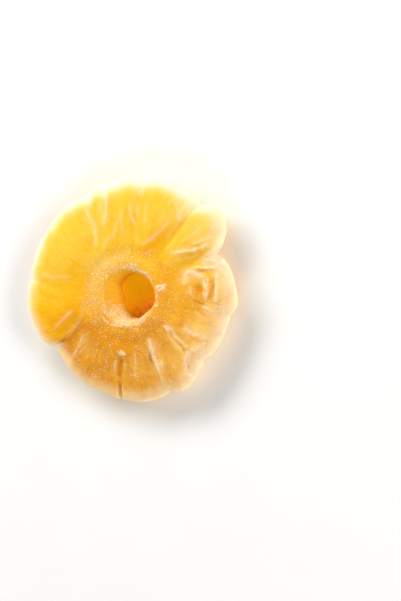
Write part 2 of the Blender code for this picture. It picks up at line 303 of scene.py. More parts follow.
# How many grains there are, their smallest size and how much larger the largest is, half across
# in millimetres, and the block that each is shaped from
GRAINS = 5000
GRAIN_SIZE, GRAIN_GROWTH = 0.05, 0.11
CUBE = np.array([[x, y, z] for z in (-1, 1) for y in (-1, 1) for x in (-1, 1)], dtype=float)
CUBE_FACES = np.array([[0, 2, 3, 1], [4, 5, 7, 6], [0, 1, 5, 4],
                       [2, 6, 7, 3], [0, 4, 6, 2], [1, 3, 7, 5]])

# Half the floor's side and how far it lies under the ring, in metres
FLOOR_HALF, FLOOR_DROP = 3.0, 0.00005
# Lamps round the ring: name, place, width and height in metres, power and colour
LAMPS = (
    ("window", (-0.52, 0.58, 0.38), 1.0, 0.2, 10.5, (1.0, 0.99, 0.96)),
    ("side", (0.72, 0.12, 0.33), 0.7, 0.2, 5.2, (1.0, 0.98, 0.95)),
    ("front", (-0.15, -0.72, 0.33), 0.7, 0.2, 2.3, (1.0, 0.98, 0.95)),
)
# The sky's strength at the horizon and overhead, where it is full, and its colour
SKY_AT_HORIZON, SKY_OVERHEAD, SKY_TOP = 0.85, 0.08, 0.7
SKY_COLOUR = (1.0, 0.99, 0.97, 1.0)

# Camera: how far its line of sight leans from the face's normal and how far that lean is turned
# from the hole's right, its distance, the photograph's scale and frame, the pixel that the ring's
# middle keeps, how high over the ground the camera aims, and the sensor's width
LEAN_ANGLE = np.radians(30.0)
LEAN_TURN = np.radians(6.0)
DISTANCE = 420.0
MM_PER_PIXEL = 0.352
FRAME_PIXELS = (401, 601)
RING_PIXEL = (131.5, 288.0)
AIM_HEIGHT = 4.0
SENSOR = 36.0


def smooth(low, high, value):
    """A ramp from 0 at low to 1 at high, level at both ends."""
    ramp = np.clip((value - low) / (high - low), 0.0, 1.0)
    return ramp * ramp * (3.0 - 2.0 * ramp)


def lens(share):
    """A blunt arch, 0 at both ends of a lobe and 1 in its middle."""
    return (1.0 - np.abs(2.0 * share - 1.0) ** 2.2) ** 0.6


def dome(share):
    """A soft swell, level at both ends of a lobe and 1 in its middle."""
    return np.sin(np.pi * share) ** 1.6


def lobe_at(turn):
    """The lobe that a direction lies in, and how far along it, from 0 to 1."""
    turn = START[0] + (turn - START[0]) % 360.0
    lobe = np.searchsorted(START, turn, side="right") - 1
    ends = np.append(START[1:], START[0] + 360.0)
    return lobe, (turn - START[lobe]) / (ends[lobe] - START[lobe])


def along(values, lobe, share):
    """A value set at each crease, read along the lobe between two of them."""
    return values[lobe] * (1.0 - share) + np.roll(values, -1)[lobe] * share


def lobed_radius(turn):
    """The outline without its splits: creases joined by straight runs, with an arch on each."""
    lobe, share = lobe_at(turn)
    chord = along(NOTCH, lobe, share)
    rise = CROWN - (NOTCH + np.roll(NOTCH, -1)) / 2.0
    angle = np.radians(turn)
    nicks = 0.18 * np.sin(11.0 * angle + 1.0) + 0.14 * np.sin(19.0 * angle + 2.2)
    return chord + rise[lobe] * lens(share) + nicks


def degrees_past(turn, direction):
    """Degrees from one direction round to another, from -180 to 180."""
    return (turn - direction + 180.0) % 360.0 - 180.0


def bump_at(turn, direction, spread):
    """A smooth bump round one direction, 1 at its top."""
    return np.exp(-((degrees_past(turn, direction) / spread) ** 2))


def outline_radius(turn):
    """The outline with its splits, whose walls are nearly parallel and whose ends are blunt."""
    radius = lobed_radius(turn)
    for direction, inner, half_width in SPLITS:
        aside = np.radians(degrees_past(turn, direction)) * radius
        wall = np.clip(np.abs(aside) / half_width, 0.0, 1.0) ** SPLIT_BLUNTNESS
        radius = inner + (radius - inner) * wall
    return radius


def ellipse_radius(turn, radii):
    """An ellipse's radius in each direction, with the slight waves of a cut core."""
    angle = np.radians(turn)
    plain = 1.0 / np.hypot(np.cos(angle) / radii[0], np.sin(angle) / radii[1])
    return plain + 0.22 * np.sin(3.0 * angle + 0.6) + 0.10 * np.sin(7.0 * angle + 2.0)


def hole_radius(turn, radii, bumps):
    """One end of the hole: its ellipse, drawn in by the bumps."""
    drawn_in = sum(reach * bump_at(turn, direction, spread) for direction, spread, reach in bumps)
    return ellipse_radius(turn, radii) - drawn_in


def crease_distance(turn, radius, crease):
    """Millimetres from a crease, measured round the hole, positive past it."""
    return np.radians(degrees_past(turn, START[crease])) * radius


def face_turn(turn, radius):
    """Where the face's lobes and creases are read: turned a little at the foot of one crease."""
    inwards = smooth(BEND_RADII[1], BEND_RADII[0], radius)
    return turn - BEND * bump_at(turn, BENT_CREASE, BEND_SPREAD) * inwards


def reach_out(turn, radius):
    """How far out a place lies, from 0 at the core's edge to 1 at the outline."""
    return np.clip((radius - CORE_EDGE) / (lobed_radius(turn) - CORE_EDGE), 0.0, 1.0)


def edge_height(turn, radius):
    """The face's height out on the lobes, with a soft step where two lobes differ."""
    lobe, share = lobe_at(turn)
    height = FIRST[lobe] * (1.0 - share) + LAST[lobe] * share
    for crease in range(len(START)):
        jump = FIRST[crease] - LAST[crease - 1]
        aside = crease_distance(turn, radius, crease)
        blend = smooth(-STEP_WIDTH, STEP_WIDTH, aside)
        near = np.abs(aside) < STEP_WIDTH
        height = height + near * jump * (blend - (aside >= 0.0))
    return height


def crease_depth(turn, radius):
    """The grooves between the lobes, each a valley of one width."""
    depth = np.zeros_like(radius)
    for crease in range(len(START)):
        aside = crease_distance(turn, radius, crease) / CREASE_WIDTH
        depth = depth + CREASE[crease] * np.exp(-aside * aside)
    return depth


def face_height(turn, radius):
    """The top surface: a firm core, then lobes that swell between their creases."""
    lobe, share = lobe_at(turn)
    reach = reach_out(turn, radius)
    out = smooth(0.0, 0.5, reach)
    swell = SWELL[lobe] * dome(share) * np.sin(np.pi * np.minimum(1.0, 0.25 + 0.8 * reach)) * out
    dip = CORE_DIP * np.exp(-(((radius - CORE_EDGE - 1.0) / DIP_WIDTH) ** 2))
    height = CORE_HEIGHT + (edge_height(turn, radius) - CORE_HEIGHT) * out
    return height + swell - dip - crease_depth(turn, radius) * out


def under_height(turn, radius):
    """The underside before it is pressed flat: bellies below the ground, arches at creases."""
    reach = reach_out(turn, radius)
    rise = np.clip(crease_depth(turn, radius), 0.0, 1.0) * smooth(0.1, 0.7, reach)
    angle = np.radians(turn)
    roll = 0.5 * np.sin(2.0 * angle + 0.7) + 0.3 * np.sin(5.0 * angle + 1.9)
    return BELLY_DEPTH + ARCH_RISE * rise + roll


def station_turns(count):
    """Directions round the hole, closer together at the creases and inside the splits."""
    turn = np.linspace(START[0], START[0] + 360.0, 20001)
    density = np.ones_like(turn)
    for start in START:
        density += CLOSER_AT_CREASE * bump_at(turn, start, CREASE_SPREAD)
    for direction, _, _ in SPLITS:
        density += CLOSER_IN_SPLIT * bump_at(turn, direction, SPLIT_SPREAD)
    travel = np.concatenate([[0.0], np.cumsum((density[1:] + density[:-1]) / 2.0)])
    return np.interp(np.arange(count) * travel[-1] / count, travel, turn)


def section_rows(count, closer):
    """Points round a section whose corners are superellipses, sharper at the hole.

    Across runs from -1 at the hole to 1 at the outline and up from -1 to 1. The rows are spread
    by length, and so many times closer on the upper half and in the hole, which show.
    """
    around = np.linspace(0.0, 2.0 * np.pi, 8001)
    power = np.where(np.cos(around) > 0.0, OUTER_POWER, HOLE_POWER)
    across = np.sign(np.cos(around)) * np.abs(np.cos(around)) ** (2.0 / power)
    up = np.sign(np.sin(around)) * (1.0 - np.minimum(1.0, np.abs(across)) ** power) ** (1.0 / power)
    step = np.hypot(SECTION_HALF_LENGTH * np.diff(across), SECTION_HALF_HEIGHT * np.diff(up))
    shown = (np.sin(around[1:]) > 0.0) | (across[1:] < -0.8)
    step = step * np.where(shown, closer, 1.0)
    travel = np.concatenate([[0.0], np.cumsum(step)])
    places = np.arange(count) * travel[-1] / count
    return np.interp(places, travel, across), np.interp(places, travel, up)


def ring_form(stations, rows, closer):
    """The part's own surface: a function of the turn round the hole and the place in the section.

    The radius runs from the hole's wall, over a band of one width, to the outline, whose wall
    leans in above and tucks in below. The height runs from the waist up to the face and down to
    the underside, never below the ground, and the edge curls up. Gives the points in millimetres,
    and each one's direction, radius, across and up.
    """
    turn = station_turns(stations)[:, None]
    across, up = (values[None, :] for values in section_rows(rows, closer))
    mouth = hole_radius(turn, MOUTH_RADII, MOUTH_BUMPS)
    out = hole_radius(turn, EXIT_RADII, EXIT_BUMPS)
    inner = (mouth + out) / 2.0
    outer = outline_radius(turn)
    lobe, share = lobe_at(turn)
    lean = along(LEAN, lobe, share) * smooth(20.0, 36.0, outer)
    outer_share = np.clip((across - 0.5) / 0.5, 0.0, 1.0) ** 2
    inner_share = np.clip((-across - 0.5) / 0.5, 0.0, 1.0)
    band = np.minimum(across + 1.0, 0.5) * 2.0 * MOUTH_BAND
    beyond = np.maximum(across + 0.5, 0.0) / 1.5 * (outer - inner - MOUTH_BAND)
    radius = inner + band + beyond
    radius = radius - outer_share * lean * np.maximum(up, 0.0) ** 1.5
    radius = radius - outer_share * FOOT_TUCK * np.maximum(-up, 0.0) ** 2
    radius = radius + inner_share * (mouth - out) / 2.0 * up
    turn = np.broadcast_to(turn, radius.shape)
    top = face_height(face_turn(turn, radius), radius)
    bottom = under_height(turn, radius)
    height = WAIST + np.where(up > 0.0, up * (top - WAIST), up * (WAIST - bottom))
    height = height + along(CURL, lobe, share) * smooth(CORE_EDGE, 42.0, radius) ** 1.5
    angle = np.radians(turn)
    x = HOLE_CENTRE[0] + radius * np.cos(angle)
    y = HOLE_CENTRE[1] + radius * np.sin(angle)
    points = np.stack([x, y, np.maximum(height, 0.0)], axis=-1)
    across, up = (np.broadcast_to(values, radius.shape) for values in (across, up))
    return points, turn, radius, across, up


def box_shift():
    """How far the part's box lies from the slice's middle, found on the part's own grid."""
    flat = ring_form(*PART_GRID)[0].reshape(-1, 3)
    low, high = flat.min(axis=0), flat.max(axis=0)
    return np.array([(low[0] + high[0]) / 2.0, (low[1] + high[1]) / 2.0, low[2]])


def waves(u, v, seed, around=WAVE_TABLE[0]):
    """Soft random waves from -1 to 1, about one unit long: random values at whole u and v, joined
    by smooth ramps. They repeat in u after a whole number of units."""
    table = np.random.default_rng(seed).uniform(-1.0, 1.0, (around, WAVE_TABLE[1]))
    u0, v0 = np.floor(u).astype(int), np.floor(v).astype(int)
    s, t = u - u0, v - v0
    s, t = s * s * (3.0 - 2.0 * s), t * t * (3.0 - 2.0 * t)
    left, right = u0 % around, (u0 + 1) % around
    low, high = v0 % WAVE_TABLE[1], (v0 + 1) % WAVE_TABLE[1]
    near = table[left, low] * (1.0 - s) + table[right, low] * s
    far = table[left, high] * (1.0 - s) + table[right, high] * s
    return near * (1.0 - t) + far * t


def ripples(x, y, size, seed):
    """Waves of one size all over the face."""
    return waves(x / size, y / size, seed)


def rays(angle, other, count, size, seed):
    """Waves that go so many times round the hole, and have one size the other way."""
    return waves(angle * count / (2.0 * np.pi), other / size, seed, count)


def patchy(x, y, size, seed):
    """Waves of one size plus finer ones of half and a quarter, from -1 to 1."""
    total = ripples(x, y, size, seed)
    total = total + 0.5 * waves(x / size * 2.0 + 17.0, y / size * 2.0, seed + 1)
    total = total + 0.25 * waves(x / size * 4.0 + 31.0, y / size * 4.0, seed + 2)
    return total / 1.75


def curve_through(points, per_span=6):
    """A smooth curve through a few points: Catmull-Rom spans, each read at even steps."""
    p = np.array(points)
    p = np.vstack([2.0 * p[0] - p[1], p, 2.0 * p[-1] - p[-2]])
    t = np.linspace(0.0, 1.0, per_span, endpoint=False)[:, None]
    spans = []
    for a, b, c, d in zip(p[:-3], p[1:-2], p[2:-1], p[3:]):
        spans.append(0.5 * (2.0 * b + (c - a) * t + (2.0 * a - 5.0 * b + 4.0 * c - d) * t**2
                            + (3.0 * b - a - 3.0 * c + d) * t**3))
    return np.vstack(spans + [p[-2:-1]])


def beside_path(x, y, path):
    """Millimetres from a path, and how far along it the nearest place is, from 0 to 1."""
    best = np.full(x.shape, 1e9)
    share = np.zeros(x.shape)
    spans = len(path) - 1
    for index, (a, b) in enumerate(zip(path[:-1], path[1:])):
        step = b - a
        t = np.clip(((x - a[0]) * step[0] + (y - a[1]) * step[1]) / (step @ step), 0.0, 1.0)
        gap = np.hypot(x - a[0] - t * step[0], y - a[1] - t * step[1])
        nearer = gap < best
        best = np.where(nearer, gap, best)
        share = np.where(nearer, (index + t) / spans, share)
    return best, share


def strand_relief(x, y):
    """Raised strands, each a rounded ridge that fades at its ends, and how pale they are."""
    height, pale = np.zeros(x.shape), np.zeros(x.shape)
    wander = 0.25 * ripples(x, y, 2.2, 11)
    width = 0.75 + 0.35 * ripples(x, y, 1.7, 14)
    for points, half_width, rise, white in STRANDS:
        gap, share = beside_path(x + wander, y - wander, curve_through(points))
        gap = gap / width
        taper = smooth(0.0, 0.22, share) * smooth(1.0, 0.78, share)
        broken = np.clip(0.72 + 0.55 * patchy(x, y, 1.6, 12), 0.2, 1.1)
        ridge = np.exp(-((gap / half_width) ** 2)) * taper * broken
        height = np.maximum(height, STRAND_RISE * rise * ridge)
        glow = np.exp(-((gap / half_width / 3.0) ** 2)) * taper
        pale = np.maximum(pale, white * (0.95 * ridge + 0.30 * glow))
    return height, pale


def crack_relief(x, y):
    """Cracks, each a narrow valley that widens along its path and fades at both ends, and the
    painted shade that darkens them."""
    depth, dark = np.zeros(x.shape), np.zeros(x.shape)
    wander = 0.30 * ripples(x, y, 1.6, 13)
    for points, half_width, fall, deep in CRACKS:
        gap, share = beside_path(x + wander, y + wander, curve_through(points))
        taper = smooth(0.0, 0.15, share) * smooth(1.0, 0.65, share)
        valley = np.exp(-((gap / half_width / (0.6 + 0.7 * share)) ** 2)) * taper
        depth = np.maximum(depth, fall * valley)
        dark = np.maximum(dark, deep * valley)
    return depth, dark


def patch_cover(x, y, patches, inner, ragged):
    """How much of something lies at each place: ellipses, full within the inner share of their
    size and gone past one and a quarter, whose edges are pushed in and out by the ragged waves."""
    cover = np.zeros(x.shape)
    for (cx, cy), length, breadth, turn, amount in patches:
        c, s = np.cos(np.radians(turn)), np.sin(np.radians(turn))
        u = ((x - cx) * c + (y - cy) * s) / length
        v = ((y - cy) * c - (x - cx) * s) / breadth
        cover = np.maximum(cover, amount * smooth(1.25, inner, np.hypot(u, v) + ragged))
    return cover


def by_direction(turn, values):
    """A value listed at each of the frost's directions, read in between."""
    return np.interp(turn % 360.0, FROST_TURNS, values)


def grid_normals(points):
    """Outward normals of a closed grid, from the steps to the neighbours both ways."""
    around = np.roll(points, -1, axis=0) - np.roll(points, 1, axis=0)
    over = np.roll(points, -1, axis=1) - np.roll(points, 1, axis=1)
    normal = np.cross(around, over)
    return normal / np.maximum(np.linalg.norm(normal, axis=-1, keepdims=True), 1e-9)


def skin_fields():
    """The part's form, and over it all that the relief and the colours read, point by point."""
    points, turn, radius, across, up = ring_form(*FINE_GRID)
    x, y, z = points[..., 0], points[..., 1], points[..., 2]
    angle = np.radians(turn)
    mouth = hole_radius(turn, MOUTH_RADII, MOUTH_BUMPS)
    skin = SimpleNamespace(points=points, turn=turn, radius=radius, across=across, up=up)
    skin.x, skin.y, skin.z, skin.angle = x, y, z, angle

    # Where a point lies, from 0 to 1: on the face, below, on the outer wall, in the hole, out on
    # the lobes and past the mouth's edge; and how many millimetres inside the outline
    skin.face = smooth(0.05, 0.75, up)
    skin.under = smooth(-0.05, -0.75, up)
    skin.wall = (1.0 - skin.face - skin.under) * (across > 0.0)
    skin.bore = (1.0 - skin.face - skin.under) * (across <= 0.0)
    skin.flesh = smooth(13.0, 22.0, radius)
    skin.onto = smooth(-0.3, 0.6, radius - mouth)
    skin.inside = lobed_radius(turn) - radius

    # What lies on the face, each with ragged edges
    skin.strand, skin.vein = strand_relief(x, y)
    skin.crack, skin.dark = crack_relief(x, y)
    ragged = 0.55 * patchy(x, y, 1.6, 21) + 0.30 * patchy(x, y, 0.7, 25)
    skin.crust = patch_cover(x, y, PATCHES, 0.30, ragged)
    skin.crust = skin.crust * np.clip(0.85 + 0.6 * patchy(x, y, 0.9, 26), 0.3, 1.15)
    skin.lump = patch_cover(x, y, LUMPS, 0.30, 0.50 * patchy(x, y, 1.2, 22))
    skin.lump = skin.lump * (0.9 + 0.3 * patchy(x, y, 0.8, 23))
    skin.haze = patch_cover(x, y, HAZES, 0.1, 0.25 * patchy(x, y, 4.0, 24))
    skin.hollow = patch_cover(x, y, HOLLOWS, 0.2, 0.15 * patchy(x, y, 2.5, 27))
    skin.clear = patch_cover(x, y, CLEARINGS, 0.2, 0.25 * patchy(x, y, 3.0, 28))

    # Waves that run out from the hole, from broad to fine, and waves all over the face
    swirl = angle + 0.02 * ripples(x, y, 9.0, 31)
    skin.broad = rays(swirl, radius, 84, 9.0, 32)
    skin.fibres = rays(swirl, radius, 190, 6.0, 33)
    skin.threads = rays(swirl, radius, 380, 3.5, 34)
    skin.folds = 1.0 - 2.2 * np.abs(rays(swirl, radius, 26, 14.0, 35))
    skin.dents = patchy(x, y, 7.0, 41)
    skin.grain = patchy(x, y, 1.5, 44)
    skin.pimples = np.maximum(patchy(x, y, 1.1, 47), 0.0)

    # Frost at the mouth's edge, on the core and down the wall, and the skin's roughness, which
    # grows towards the lower right
    mouth_edge = np.exp(-(((radius - mouth - 0.8) / 0.9) ** 2))
    near_mouth = smooth(1.5, 0.0, radius - mouth) * (1.0 - skin.under)
    on_core = smooth(20.0, 15.5, radius + 1.5 * skin.dents)
    skin.frost = mouth_edge * by_direction(turn, MOUTH_FROST)
    skin.core = on_core * by_direction(turn, CORE_FROST)
    skin.wall_frost = near_mouth * by_direction(turn, WALL_FROST)
    skin.rough = smooth(-8.0, 24.0, 0.6 * x - 0.8 * y) * (1.0 - 0.8 * skin.clear)
    return skin


def skin_lift(skin):
    """How far the skin stands out along its normals, in millimetres: on the face the sum of its
    waves, fibres, strands, lumps and crust, less its hollows and cracks, and waves elsewhere."""
    x, y, flesh, rough = skin.x, skin.y, skin.flesh, skin.rough
    relief = (0.14 + 0.06 * rough) * skin.dents + 0.06 * skin.folds * flesh
    relief = relief + (0.05 + 0.03 * rough) * skin.broad * flesh
    relief = relief + 0.035 * skin.fibres * flesh + 0.02 * skin.threads * flesh
    relief = relief + (0.02 + 0.10 * skin.core + 0.06 * rough) * skin.grain
    relief = relief + 0.22 * skin.pimples * (skin.core + 0.5 * skin.frost)
    relief = relief - skin.hollow + skin.strand - skin.crack + skin.lump
    relief = relief + skin.crust * (0.06 + 0.22 * np.maximum(patchy(x, y, 0.9, 51), -0.3))
    relief = relief + 0.05 * rough * ripples(x, y, 0.8, 52) + 0.04 * rough * ripples(x, y, 0.45, 53)
    sides = rays(skin.angle, skin.z, 150, 5.0, 61)
    knobs = rays(skin.angle, skin.z, 70, 2.6, 62)
    bore_lines = rays(skin.angle, skin.z, 90, 6.0, 63)
    bore_grain = rays(skin.angle, skin.z, 120, 1.2, 64)
    lift = relief * skin.face + skin.wall * (0.15 * sides + 0.25 * knobs + 0.06 * skin.grain)
    lift = lift + skin.bore * (0.13 * bore_lines + 0.02 * bore_grain)
    lift = lift + 0.25 * skin.wall_frost * skin.pimples * (skin.up > 0.2)
    return lift + skin.under * (0.20 * skin.dents + 0.12 * skin.fibres * flesh + 0.08 * skin.grain)


def sugar_cover(skin):
    """How much sugar lies at each point, the most of these: on the palest strands, the crust and
    the lumps, frost round the hole, scraps along the right rim, and scraps on the rough skin."""
    x, y, outer = skin.x, skin.y, skin.face + skin.wall
    speckled = 0.60 + 0.50 * patchy(x, y, 1.3, 72)
    frosted = np.maximum(0.9 * skin.frost, 0.5 * skin.core * skin.onto)
    edge = smooth(4.5, 0.5, skin.inside + skin.broad) * smooth(-5.0, 20.0, x + 0.4 * y)
    edge = edge * smooth(28.0, 16.0, y)
    return np.maximum.reduce([
        0.9 * smooth(0.65, 1.00, skin.vein) * skin.face,
        skin.crust * skin.face,
        smooth(0.05, 0.35, skin.lump) * skin.face,
        speckled * frosted * skin.face,
        skin.wall_frost * speckled,
        0.75 * edge * smooth(-0.2, 0.6, patchy(x, y, 1.8, 73)) * outer,
        0.30 * skin.rough * smooth(0.1, 0.9, patchy(x, y, 2.4, 71)) * outer,
    ])


def skin_masks(skin):
    """What the flesh's material reads, all from 0 to 1: tone from yellow to amber with painted
    shade towards the lower right, a painted glow at the rim with pale creases, milky haze, clear
    flesh, pale veins, the hole's wall, painted light at the edge, sugar, painted shade in the
    cracks, roughness."""
    face, flesh, fibres, inside = skin.face, skin.flesh, skin.fibres, skin.inside
    slant = 0.36 * skin.x - 0.93 * skin.y
    in_hole = (1.0 - skin.onto) * (skin.across < 0.0)
    # Painted shade: the flesh turns amber towards the lower right, and more so on the lowest lobes;
    # the dents and fibres add tone that varies at random
    tone = smooth(-30.0, 26.0, slant + 6.0 * skin.dents)
    tone = tone + LOBE_TONE_AND_SHADE[lobe_at(face_turn(skin.turn, skin.radius))[0]] * flesh
    tone = tone + (0.12 + 0.03 * skin.rough) * fibres * flesh + (0.2 - tone) * 0.8 * in_hole
    # Painted light: the flesh turns pale towards the outline as if light came through its thin
    # edge. The creases add their own pale fibres
    rim = smooth(10.0, 0.0, inside + 0.8 * skin.broad) ** 1.6 * smooth(22.0, 30.0, skin.radius)
    in_crease = np.clip(crease_depth(skin.turn, skin.radius), 0.0, 1.0)
    rim = rim + 0.25 * (in_crease * flesh * (0.5 + 0.5 * fibres))
    haze = np.maximum(skin.haze, 0.45 * skin.core * skin.onto)
    # Painted light along the very edge: a pale line all round, brightest at the upper left, where
    # the light comes from behind, and creamy along the right rim
    milk = smooth(2.2, 0.0, inside + 0.6 * skin.broad) * (0.35 * face + 0.20 * skin.wall)
    backlit_edge = 0.85 * smooth(8.0, -30.0, slant) * smooth(4.0, 0.0, inside + 0.6 * skin.broad)
    right = 0.40 * smooth(18.0, 30.0, skin.x) * smooth(2.6, 0.3, inside + 0.5 * skin.broad)
    masks = {
        "tone": tone,
        "rim": rim,
        "haze": haze * face * (1.0 - 0.7 * skin.clear),
        "clear": skin.clear * face,
        "vein": skin.vein * face,
        "bore": in_hole,
        "milk": np.maximum(milk, np.maximum(backlit_edge, right) * (face + 0.7 * skin.wall)),
        "sugar": sugar_cover(skin),
        # Painted shade in the cracks
        "crack": skin.dark * face,
        "rough": np.maximum(np.maximum(skin.rough, skin.core), skin.wall_frost),
    }
    return {name: np.clip(values, 0.0, 1.0) for name, values in masks.items()}


def fine_ring():
    """The part's form with its relief raised along its normals, and pressed flat on the ground.

    Gives the points in millimetres, their normals, the masks, the vectors that the fibres follow,
    which change fast round the hole and slowly out from it, and where grains of sugar may lie.
    """
    skin = skin_fields()
    fine = skin.points + grid_normals(skin.points) * skin_lift(skin)[..., None]
    pressed = (skin.z < 0.02) & (skin.up < 0.0)
    fine[..., 2] = np.where(pressed, 0.0, np.maximum(fine[..., 2], 0.0))
    fibre = np.stack([FIBRE_ROUND * np.cos(skin.angle), FIBRE_ROUND * np.sin(skin.angle),
                      FIBRE_OUT * skin.radius + FIBRE_DOWN * skin.z], axis=-1)
    return fine, grid_normals(fine), skin_masks(skin), fibre, np.maximum(skin.face, skin.bore)


def closed_grid_faces(stations, rows):
    """Four-cornered faces that close a grid both ways, turned outwards."""
    station, row = np.meshgrid(np.arange(stations), np.arange(rows), indexing="ij")
    following = (station + 1) % stations
    above = (row + 1) % rows
    here, there = station * rows, following * rows
    corners = (here + row, there + row, there + above, here + above)
    return np.stack(corners, axis=-1).reshape(-1, 4)


def new_mesh(name, points, faces):
    """A mesh object at the origin from arrays of points in metres and of equal faces."""
    mesh = bpy.data.meshes.new(name)
    sides = faces.shape[1]
    mesh.vertices.add(len(points))
    mesh.vertices.foreach_set("co", points.astype(np.float32).ravel())
    mesh.loops.add(faces.size)
    mesh.loops.foreach_set("vertex_index", faces.astype(np.int32).ravel())
    mesh.polygons.add(len(faces))
    mesh.polygons.foreach_set("loop_start", np.arange(0, faces.size, sides, dtype=np.int32))
    mesh.update(calc_edges=True)
    mesh.validate()
    piece = bpy.data.objects.new(name, mesh)
    bpy.context.scene.collection.objects.link(piece)
    return piece


class Wire:
    """A socket's value in a material, on which Python's operators add Math nodes."""

    def __init__(self, shop, socket):
        self.shop, self.socket = shop, socket

    def math(self, operation, other):
        """Adds the Math node of one operation on this value and another."""
        return self.shop.add("ShaderNodeMath", {"operation": operation}, {0: self, 1: other})

    def __add__(self, other):
        return self.math("ADD", other)

    def __sub__(self, other):
        return self.math("SUBTRACT", other)

    def __mul__(self, other):
        return self.math("MULTIPLY", other)

    def __rsub__(self, other):
        return self.shop.add("ShaderNodeMath", {"operation": "SUBTRACT"}, {0: other, 1: self})

    __radd__ = __add__
    __rmul__ = __mul__

    def ramp(self, low, high, start=0.0, end=1.0):
        """Runs smoothly from start, where this is low, to end, where it is high."""
        values = {"Value": self, "From Min": low, "From Max": high, "To Min": start, "To Max": end}
        return self.shop.add("ShaderNodeMapRange", {"interpolation_type": "SMOOTHSTEP"}, values)


class Shop:
    """A material under construction, with one method for every node."""

    def __init__(self, name):
        self.material = bpy.data.materials.new(name)
        self.material.use_nodes = True
        self.tree = self.material.node_tree
        self.shader = self.tree.nodes["Principled BSDF"]

    def add(self, kind, settings=None, values=None, output=0):
        """Adds a node: its settings first, then its sockets' values or links. Gives one output."""
        node = self.tree.nodes.new(kind)
        for key, value in (settings or {}).items():
            if key == "stops":
                set_stops(node.color_ramp, value)
            else:
                setattr(node, key, value)
        for key, value in (values or {}).items():
            self.feed(node.inputs[key], value)
        return Wire(self, node.outputs[output])

    def feed(self, socket, value):
        """Links a wire into a socket, or sets the socket's own value."""
        if isinstance(value, Wire):
            self.tree.links.new(value.socket, socket)
        else:
            socket.default_value = value

    def mix(self, share, first, second, blend="MIX"):
        """Blends two colours; the Mix node's colour sockets are its inputs 6 and 7."""
        settings = {"data_type": "RGBA", "blend_type": blend}
        return self.add("ShaderNodeMix", settings, {0: share, 6: first, 7: second}, output=2)

    def mask(self, name):
        """A number kept at each point of the mesh."""
        return self.add("ShaderNodeAttribute", {"attribute_name": name}, output=2)

    def field(self, name):
        """A vector kept at each point of the mesh."""
        return self.add("ShaderNodeAttribute", {"attribute_name": name}, output=1)

    def noise(self, vector, scale, detail=3.0, roughness=0.55):
        """Soft noise round one half, finer with a larger scale."""
        values = {"Vector": vector, "Scale": scale, "Detail": detail, "Roughness": roughness}
        return self.add("ShaderNodeTexNoise", {}, values)

    def finish(self, **values):
        """Feeds the shader's sockets, named with underscores for spaces."""
        for key, value in values.items():
            self.feed(self.shader.inputs[key.replace("_", " ")], value)
        return self.material

    def blend(self, share, other):
        """Lays a second shader over the first, where the share is 1."""
        first = Wire(self, self.shader.outputs[0])
        both = self.add("ShaderNodeMixShader", {}, {0: share, 1: first, 2: other})
        self.feed(self.tree.nodes["Material Output"].inputs["Surface"], both)
        return self.material


def set_stops(ramp, stops):
    """Gives a colour ramp its stops, each a place from 0 to 1 and a colour."""
    while len(ramp.elements) < len(stops):
        ramp.elements.new(0.5)
    for element, (place, colour) in zip(ramp.elements, stops):
        element.position = place
        element.color = colour


def shade(red, green, blue):
    """A colour given as it looks, in 0 to 255, as the linear values that a shader takes."""
    looks = np.array([red, green, blue]) / 255.0
    linear = np.where(looks <= 0.04045, looks / 12.92, ((looks + 0.055) / 1.055) ** 2.4)
    return (*(float(v) for v in linear), 1.0)


# Colours of the flesh and of what lies on it, of the grains and of the ground
SUNNY = shade(245, 200, 60)
GOLDEN = shade(245, 186, 20)
HONEY = shade(238, 168, 0)
AMBER = shade(212, 134, 2)
# Cream for the painted light at the rim and for the pale threads
CREAM = shade(253, 222, 170)
HAZE = shade(248, 214, 114)
# Painted light at the edge
PAINTED_EDGE_LIGHT = shade(250, 222, 218)
VEIN = shade(255, 222, 168)
SUGAR_WHITE = shade(255, 226, 196)
SUGAR_GOLD = shade(255, 198, 124)
# Painted shade in the cracks
PAINTED_CRACK_SHADE = shade(218, 136, 0)
PALE_GOLD = shade(252, 208, 108)
CLEAR_GOLD = shade(230, 150, 0)
DEEP_GOLD = shade(226, 168, 0)
GRAIN_YELLOW = shade(255, 230, 170)
GRAIN_AMBER = shade(255, 214, 150)
GRAIN_WHITE = shade(255, 238, 205)
FLOOR_WHITE = shade(246, 246, 247)
FLOOR_GREY = shade(240, 239, 238)
# Painted light on the ground near the ring
PAINTED_GLOW_GOLD = shade(255, 234, 194)
BLACK = shade(0, 0, 0)
# The flesh from its yellow to its amber
TONE_STOPS = ((0.0, SUNNY), (0.30, GOLDEN), (0.75, HONEY), (1.0, AMBER))
# The ground in the hole, painted with the light that falls through the flesh, from its upper
# left to its lower right, where it darkens as a painted shadow, and the painted glow that it
# gives off
HOLE_PAINTED_LIGHT_STOPS = ((0.0, shade(255, 196, 20)), (0.7, shade(255, 176, 24)), (1.0, shade(210, 110, 10)))
HOLE_PAINTED_GLOWS = ((0.0, shade(158, 116, 0)), (0.7, shade(156, 99, 0)), (1.0, shade(110, 46, 0)))
# Which way they run, between which distances in metres, and how far they are mottled
HOLE_SLOPE = (0.45, -0.9, 0.0)
HOLE_REACH = (-0.004, 0.0105)
HOLE_MOTTLE = 0.008
# Where the painted light that stands for light falling through the flesh fades from the ground,
# round the ring and in its hole, in metres from the middle
RING_PAINTED_GLOW_RADII = (0.036, 0.056)
HOLE_PAINTED_GLOW_RADII = (0.014, 0.030)
# How far light travels in the flesh and in the crust: shares for red, green and blue, and metres
FLESH_SHARES, FLESH_DEPTH = (1.0, 0.55, 0.14), 0.0045
CRUST_SHARES, CRUST_DEPTH = (1.0, 0.85, 0.6), 0.0016


